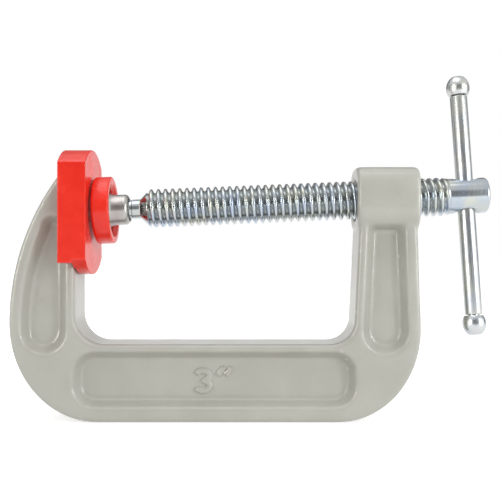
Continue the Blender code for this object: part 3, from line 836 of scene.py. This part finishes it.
def build_mottle():
    """Two tones that drift into each other: Color and Mask."""
    inputs = [("Vector", "NodeSocketVector", None), ("Scale", "NodeSocketFloat", 60.0),
              ("Detail", "NodeSocketFloat", 3.0), ("Low Tone", "NodeSocketColor", None),
              ("High Tone", "NodeSocketColor", None)]
    outputs = [("Color", "NodeSocketColor"), ("Mask", "NodeSocketFloat")]
    group, start, end = new_group("mottle", inputs, outputs)
    cloud = group.nodes.new("ShaderNodeTexNoise")
    spread = group.nodes.new("ShaderNodeMapRange")
    spread.inputs["From Min"].default_value = 0.34
    spread.inputs["From Max"].default_value = 0.66
    mix = group.nodes.new("ShaderNodeMix")
    mix.data_type = "RGBA"
    link = group.links.new
    link(start.outputs["Vector"], cloud.inputs["Vector"])
    link(start.outputs["Scale"], cloud.inputs["Scale"])
    link(start.outputs["Detail"], cloud.inputs["Detail"])
    link(cloud.outputs["Fac"], spread.inputs["Value"])
    link(spread.outputs["Result"], mix.inputs["Factor"])
    link(start.outputs["Low Tone"], mix.inputs["A"])
    link(start.outputs["High Tone"], mix.inputs["B"])
    link(mix.outputs["Result"], end.inputs["Color"])
    link(spread.outputs["Result"], end.inputs["Mask"])
    return group


def build_tool_lines():
    """Fine uneven lines, stretched by the Stretch vector: Height and Mask."""
    inputs = [("Vector", "NodeSocketVector", None), ("Stretch", "NodeSocketVector", None),
              ("Scale", "NodeSocketFloat", 1.0)]
    outputs = [("Height", "NodeSocketFloat"), ("Mask", "NodeSocketFloat")]
    group, start, end = new_group("tool_lines", inputs, outputs)
    pull = group.nodes.new("ShaderNodeVectorMath")
    pull.operation = "MULTIPLY"
    lines = group.nodes.new("ShaderNodeTexNoise")
    lines.inputs["Detail"].default_value = 2.0
    contrast = group.nodes.new("ShaderNodeMapRange")
    contrast.inputs["From Min"].default_value = 0.4
    contrast.inputs["From Max"].default_value = 0.7
    link = group.links.new
    link(start.outputs["Vector"], pull.inputs[0])
    link(start.outputs["Stretch"], pull.inputs[1])
    link(pull.outputs["Vector"], lines.inputs["Vector"])
    link(start.outputs["Scale"], lines.inputs["Scale"])
    link(lines.outputs["Fac"], contrast.inputs["Value"])
    link(lines.outputs["Fac"], end.inputs["Height"])
    link(contrast.outputs["Result"], end.inputs["Mask"])
    return group


MOTTLE = build_mottle()
TOOL_LINES = build_tool_lines()
print("node groups:", MOTTLE.name, "and", TOOL_LINES.name)


# %% Helpers that place the groups in a material
def linear(red, green, blue):
    """A colour given as 0 to 255 screen values, as the linear light that a shader takes."""
    def one(value):
        value /= 255
        return value / 12.92 if value <= 0.04045 else ((value + 0.055) / 1.055) ** 2.4
    return (one(red), one(green), one(blue), 1.0)


def start_finish(name):
    """A new material, and what every finish needs from it."""
    material = bpy.data.materials.new(name)
    material.use_nodes = True
    nodes = material.node_tree.nodes
    where = nodes.new("ShaderNodeTexCoord")
    return material, nodes, material.node_tree.links.new, nodes["Principled BSDF"], where


def add_group(nodes, link, group, where, **values):
    """Place a group and set its inputs; an underscore in a name stands for a space."""
    placed = nodes.new("ShaderNodeGroup")
    placed.node_tree = group
    link(where.outputs["Object"], placed.inputs["Vector"])
    for label, value in values.items():
        placed.inputs[label.replace("_", " ")].default_value = value
    return placed


def add_range(nodes, link, source, low, high):
    """Stretch a mask from 0..1 to a range, as for a roughness."""
    spread = nodes.new("ShaderNodeMapRange")
    spread.inputs["To Min"].default_value = low
    spread.inputs["To Max"].default_value = high
    link(source, spread.inputs["Value"])
    return spread.outputs["Result"]


def add_bump(nodes, link, height, shader, distance, below=None):
    """Raise the surface by a height, over another bump if one is given."""
    bump = nodes.new("ShaderNodeBump")
    bump.inputs["Distance"].default_value = distance
    link(height, bump.inputs["Height"])
    if below is not None:
        link(below.outputs["Normal"], bump.inputs["Normal"])
    link(bump.outputs["Normal"], shader.inputs["Normal"])
    return bump


# %% [markdown]
# ## Grey enamel
#
# The casting is sprayed with a warm grey enamel. It flows out to a gloss, but the iron's
# roughness still shows through as a fine orange peel. The tone is a little paler on raised
# edges: partly thinner paint there, and partly a painted highlight along each rounded edge.
# A clear coat on the Principled shader gives the wet highlight over a softer base, and two
# bumps of different sizes carry the peel and the casting under it.

# %% Mix the grey enamel
def grey_enamel():
    material, nodes, link, shader, where = start_finish("grey_enamel")
    tone = add_group(nodes, link, MOTTLE, where, Scale=85.0, Detail=4.0,
                     Low_Tone=linear(173, 172, 162), High_Tone=linear(180, 179, 169))
    edge = nodes.new("ShaderNodeNewGeometry")
    # Convex edges turn paler: partly thinner paint, partly a painted highlight along the rounded
    # edges.
    thin_paint_and_edge_highlight = nodes.new("ShaderNodeMapRange")
    thin_paint_and_edge_highlight.inputs["From Min"].default_value = 0.50
    thin_paint_and_edge_highlight.inputs["From Max"].default_value = 0.62
    thin_paint_and_edge_highlight.inputs["To Max"].default_value = 0.75
    link(edge.outputs["Pointiness"], thin_paint_and_edge_highlight.inputs["Value"])
    mix = nodes.new("ShaderNodeMix")
    mix.data_type = "RGBA"
    mix.inputs["B"].default_value = linear(198, 197, 191)
    link(thin_paint_and_edge_highlight.outputs["Result"], mix.inputs["Factor"])
    link(tone.outputs["Color"], mix.inputs["A"])
    link(mix.outputs["Result"], shader.inputs["Base Color"])
    link(add_range(nodes, link, tone.outputs["Mask"], 0.30, 0.42), shader.inputs["Roughness"])
    shader.inputs["Specular IOR Level"].default_value = 0.3
    shader.inputs["Coat Weight"].default_value = 0.55
    shader.inputs["Coat Roughness"].default_value = 0.07
    casting = add_group(nodes, link, MOTTLE, where, Scale=260.0, Detail=2.0)
    peel = add_group(nodes, link, MOTTLE, where, Scale=1100.0, Detail=2.0)
    under = add_bump(nodes, link, casting.outputs["Mask"], shader, 0.00005)
    add_bump(nodes, link, peel.outputs["Mask"], shader, 0.000008, below=under)
    return material


ENAMEL = grey_enamel()
for piece in (frame_casting, size_numeral):
    piece.data.materials.clear()
    piece.data.materials.append(ENAMEL)
print("painted:", frame_casting.name, size_numeral.name)

# %% [markdown]
# ## Plated steel
#
# The screw and the T bar are zinc plated: bright, faintly blue, with a straw tint where the
# passivation lies thicker. The screw keeps lines from the lathe, which run round it, so its
# noise is squeezed along X. The drawn bar's lines run along its length, along Z. The shoe is
# the same steel but duller, because it was tumbled and not polished.

# %% Plate the screw, the bar and the shoe
# The grey of the painted shade in the thread's valleys.
VALLEY_SHADE_GREY = linear(168, 172, 172)
ROUND_LINES = (9000.0, 500.0, 500.0)
LONG_LINES = (4200.0, 4200.0, 120.0)


def paint_valley_shade(nodes, link, where, color, bottom, top):
    """Painted shade greys the thread's valleys; the neck, which is thinner still, is mostly left
    out of it.
    """
    flat = nodes.new("ShaderNodeVectorMath")
    flat.operation = "MULTIPLY"
    flat.inputs[1].default_value = (0, 1, 1)
    radius = nodes.new("ShaderNodeVectorMath")
    radius.operation = "LENGTH"
    share = nodes.new("ShaderNodeMapRange")
    share.inputs["From Min"].default_value = bottom
    share.inputs["From Max"].default_value = top
    mix = nodes.new("ShaderNodeMix")
    mix.data_type = "RGBA"
    mix.inputs["A"].default_value = VALLEY_SHADE_GREY
    neck = nodes.new("ShaderNodeMapRange")
    neck.inputs["From Min"].default_value = bottom * 0.75
    neck.inputs["From Max"].default_value = bottom * 0.85
    neck.inputs["To Min"].default_value = 0.75
    neck.inputs["To Max"].default_value = 0.0
    unshaded = nodes.new("ShaderNodeMath")
    unshaded.operation = "MAXIMUM"
    link(where.outputs["Object"], flat.inputs[0])
    link(flat.outputs["Vector"], radius.inputs[0])
    link(radius.outputs["Value"], share.inputs["Value"])
    link(radius.outputs["Value"], neck.inputs["Value"])
    link(share.outputs["Result"], unshaded.inputs[0])
    link(neck.outputs["Result"], unshaded.inputs[1])
    link(unshaded.outputs["Value"], mix.inputs["Factor"])
    link(color, mix.inputs["B"])
    return mix.outputs["Result"]


def plated(name, low_tone, high_tone, low_rough, high_rough, stretch, line_depth, valleys=None):
    """Metal of two tones with fine lines; valleys gives the radii between which the painted valley
    shade fades.
    """
    material, nodes, link, shader, where = start_finish(name)
    tint = add_group(nodes, link, MOTTLE, where, Scale=160.0, Detail=2.0,
                     Low_Tone=low_tone, High_Tone=high_tone)
    lines = add_group(nodes, link, TOOL_LINES, where, Stretch=stretch, Scale=1.0)
    shader.inputs["Metallic"].default_value = 1.0
    color = tint.outputs["Color"]
    if valleys:
        color = paint_valley_shade(nodes, link, where, color, *valleys)
    link(color, shader.inputs["Base Color"])
    link(add_range(nodes, link, lines.outputs["Mask"], low_rough, high_rough),
         shader.inputs["Roughness"])
    add_bump(nodes, link, lines.outputs["Height"], shader, line_depth)
    return material


# The screw's thread valleys get painted shade, which fades out between these two radii.
SCREW_PLATE = plated("screw_plate", linear(166, 176, 190), linear(184, 186, 178), 0.18, 0.28,
                     ROUND_LINES, 0.000004, valleys=(0.0047, 0.0053))
BAR_PLATE = plated("bar_plate", linear(180, 185, 192), linear(194, 195, 188), 0.22, 0.34,
                   LONG_LINES, 0.000004)
SHOE_PLATE = plated("shoe_plate", linear(160, 157, 154), linear(182, 180, 176), 0.28, 0.40,
                    ROUND_LINES, 0.000006)
SPRING_STEEL = plated("spring_steel", linear(120, 120, 124), linear(150, 148, 146), 0.28, 0.4,
                      ROUND_LINES, 0.000004)
for piece, finish in ((screw, SCREW_PLATE), (t_bar_rod, BAR_PLATE), (t_bar_top_end, BAR_PLATE),
                      (t_bar_bottom_end, BAR_PLATE), (swivel_bell, SHOE_PLATE),
                      (spring_ring, SPRING_STEEL)):
    piece.data.materials.clear()
    piece.data.materials.append(finish)
    print(piece.name, "is", finish.name)

# %% [markdown]
# ## Red PVC
#
# The pads are soft red plastic, not quite glossy. Its surface has the fine pebble of the
# mould and slightly different red from place to place. A touch of light passes into it, which
# keeps its shaded side warm.

# %% Mould the red PVC
def red_pvc():
    material, nodes, link, shader, where = start_finish("red_pvc")
    tone = add_group(nodes, link, MOTTLE, where, Scale=120.0, Detail=3.0,
                     Low_Tone=linear(230, 34, 12), High_Tone=linear(240, 44, 20))
    link(tone.outputs["Color"], shader.inputs["Base Color"])
    link(add_range(nodes, link, tone.outputs["Mask"], 0.20, 0.30), shader.inputs["Roughness"])
    shader.inputs["Subsurface Weight"].default_value = 0.08
    shader.inputs["Subsurface Scale"].default_value = 0.0008
    shader.inputs["Subsurface Radius"].default_value = (1.0, 0.25, 0.15)
    pebble = add_group(nodes, link, MOTTLE, where, Scale=1500.0, Detail=2.0)
    add_bump(nodes, link, pebble.outputs["Mask"], shader, 0.000012)
    return material


RED_PVC = red_pvc()
for piece in (red_cap, red_jaw_pad):
    piece.data.materials.clear()
    piece.data.materials.append(RED_PVC)
print("red pads:", red_cap.name, red_jaw_pad.name)

# %% [markdown]
# ## The set: floor, world, lamps and cards
#
# The clamp stands on a plain white floor under a white sky. The floor glows a little by
# itself, so that it reads as white and still takes the clamp's shadow. The room gives an even
# light, a softbox above and a fill from the right shape the casting, and thin strips draw
# lines on the metal.
#
# Bright metal shows only what surrounds it, and in a white room it would look like paper. So
# a photographer sets grey cards where the metal should darken, and narrow bright ones whose
# reflection runs along the rounded edges. Here both kinds are seen by reflections only.

# %% Floor and world
def make_card(name, corners):
    shape = bmesh.new()
    shape.faces.new([shape.verts.new(corner) for corner in corners])
    card = make_object(name, shape)
    return card


FLOOR_GLOW = 0.62
floor_z = packed_low.z - 0.0001
floor = make_card("floor", [(x, y, floor_z) for x, y in ((-4, -4), (4, -4), (4, 4), (-4, 4))])
floor_paint = bpy.data.materials.new("floor_paint")
floor_paint.use_nodes = True
floor_shader = floor_paint.node_tree.nodes["Principled BSDF"]
floor_shader.inputs["Base Color"].default_value = (0.86, 0.86, 0.86, 1)
floor_shader.inputs["Roughness"].default_value = 0.75
floor_shader.inputs["Specular IOR Level"].default_value = 0.1
floor_shader.inputs["Emission Color"].default_value = (1, 1, 1, 1)
floor.data.materials.append(floor_paint)


def seen_rays(nodes, link):
    """One for camera, glossy and transmission rays, and nought for the light on the clamp."""
    ray = nodes.new("ShaderNodeLightPath")
    seen = ray.outputs["Is Camera Ray"]
    for other in ("Is Glossy Ray", "Is Transmission Ray"):
        either = nodes.new("ShaderNodeMath")
        either.operation = "MAXIMUM"
        link(seen, either.inputs[0])
        link(ray.outputs[other], either.inputs[1])
        seen = either.outputs["Value"]
    return seen


glow = floor_paint.node_tree.nodes.new("ShaderNodeMath")
glow.operation = "MULTIPLY"
glow.inputs[1].default_value = FLOOR_GLOW
floor_link = floor_paint.node_tree.links.new
floor_link(seen_rays(floor_paint.node_tree.nodes, floor_link), glow.inputs[0])
floor_link(glow.outputs["Value"], floor_shader.inputs["Emission Strength"])

world = bpy.data.worlds.new("white_room")
bpy.context.scene.world = world
world.use_nodes = True
sky_nodes = world.node_tree.nodes
room_light = sky_nodes["Background"]
room_light.inputs["Color"].default_value = (0.97, 0.985, 1.0, 1)
room_light.inputs["Strength"].default_value = 0.56
backdrop = sky_nodes.new("ShaderNodeBackground")
backdrop.inputs["Strength"].default_value = 1.0
backdrop.inputs["Color"].default_value = (1, 1, 1, 1)
choose = sky_nodes.new("ShaderNodeMixShader")
join = world.node_tree.links.new
join(seen_rays(sky_nodes, join), choose.inputs["Fac"])
join(room_light.outputs["Background"], choose.inputs[1])
join(backdrop.outputs["Background"], choose.inputs[2])
join(choose.outputs["Shader"], sky_nodes["World Output"].inputs["Surface"])
print("floor at", round(1000 * floor_z, 2), "mm")


# %% Lamps
def soft_lamp(name, place, width, height, watts, tint, mirrored=True):
    """A rectangular lamp aimed at the clamp; mirrored says whether metal reflects it."""
    lamp = bpy.data.lights.new(name, "AREA")
    lamp.shape = "RECTANGLE"
    lamp.size = width
    lamp.size_y = height
    lamp.energy = watts
    lamp.color = tint
    holder = bpy.data.objects.new(name, lamp)
    bpy.context.scene.collection.objects.link(holder)
    holder.location = place
    holder.visible_glossy = mirrored
    aim = Vector((0, 0, 0.04)) - Vector(place)
    holder.rotation_euler = aim.to_track_quat("-Z", "Y").to_euler()


soft_lamp("top_softbox", (-0.10, -0.10, 0.75), 0.60, 0.45, 1.5, (0.96, 0.97, 1.0))
soft_lamp("right_fill", (0.36, -0.40, 0.20), 0.30, 0.30, 0.88, (1.0, 1.0, 1.0), mirrored=False)
soft_lamp("left_side", (-0.70, -0.12, 0.15), 0.30, 0.50, 0.30, (1.0, 0.985, 0.95))
soft_lamp("right_side", (0.70, -0.12, 0.15), 0.30, 0.50, 0.70, (0.97, 0.985, 1.0))
soft_lamp("left_strip", (-0.55, -0.42, 0.10), 0.030, 0.50, 0.5, (1.0, 0.975, 0.92))
soft_lamp("left_far_strip", (-0.50, -0.62, 0.12), 0.025, 0.50, 0.4, (1.0, 0.975, 0.92))
soft_lamp("right_strip", (0.55, -0.42, 0.12), 0.035, 0.50, 0.7, (0.96, 0.98, 1.0))


# %% The cards
def mirror_card(name, near, far, low, high, glow, tint=(1.0, 1.0, 1.0)):
    """An upright card between two (x, y) places, which only reflections see."""
    card = make_card(name, [(*near, low), (*far, low), (*far, high), (*near, high)])
    paint = bpy.data.materials.new(name)
    paint.use_nodes = True
    nodes = paint.node_tree.nodes
    nodes.remove(nodes["Principled BSDF"])
    light = nodes.new("ShaderNodeEmission")
    light.inputs["Color"].default_value = (*tint, 1)
    light.inputs["Strength"].default_value = glow
    paint.node_tree.links.new(light.outputs["Emission"], nodes["Material Output"].inputs["Surface"])
    card.data.materials.append(paint)
    card.visible_camera = False
    card.visible_diffuse = False
    card.visible_shadow = False
    card.visible_transmission = False


mirror_card("front_card", (-0.36, -0.66), (0.36, -0.66), -0.01, 0.55, 0.31)
mirror_card("back_card", (-0.8, 0.75), (0.8, 0.75), 0.22, 0.95, 0.30)
mirror_card("left_card", (-0.95, -0.25), (-0.95, 0.55), -0.01, 0.60, 0.35)
mirror_card("right_card", (0.95, -0.25), (0.95, 0.55), -0.01, 0.60, 0.35)
mirror_card("left_window", (-0.637, -0.423), (-0.563, -0.517), 0.0, 0.50, 10.0, (1.0, 0.97, 0.88))
mirror_card("right_window", (0.637, -0.423), (0.563, -0.517), 0.0, 0.50, 10.0, (0.93, 0.97, 1.0))
print("lamps:", [light.name for light in bpy.data.lights])

# %% [markdown]
# ## The camera
#
# A normal lens looks straight along Y from close by, a little above the middle of the throat.
# So the clamp shows in side view, and only the faces that turn inwards are seen, at a slant.

# %% Set the camera
lens = bpy.data.cameras.new("camera")
lens.lens = 55.8
lens.sensor_width = 36
lens.clip_start = 0.01
camera = bpy.data.objects.new("camera", lens)
bpy.context.scene.collection.objects.link(camera)
camera.location = (0, -0.242, 0.0522)
camera.rotation_euler = (math.radians(90), 0, 0)
bpy.context.scene.camera = camera
bpy.context.scene.view_settings.view_transform = "Standard"
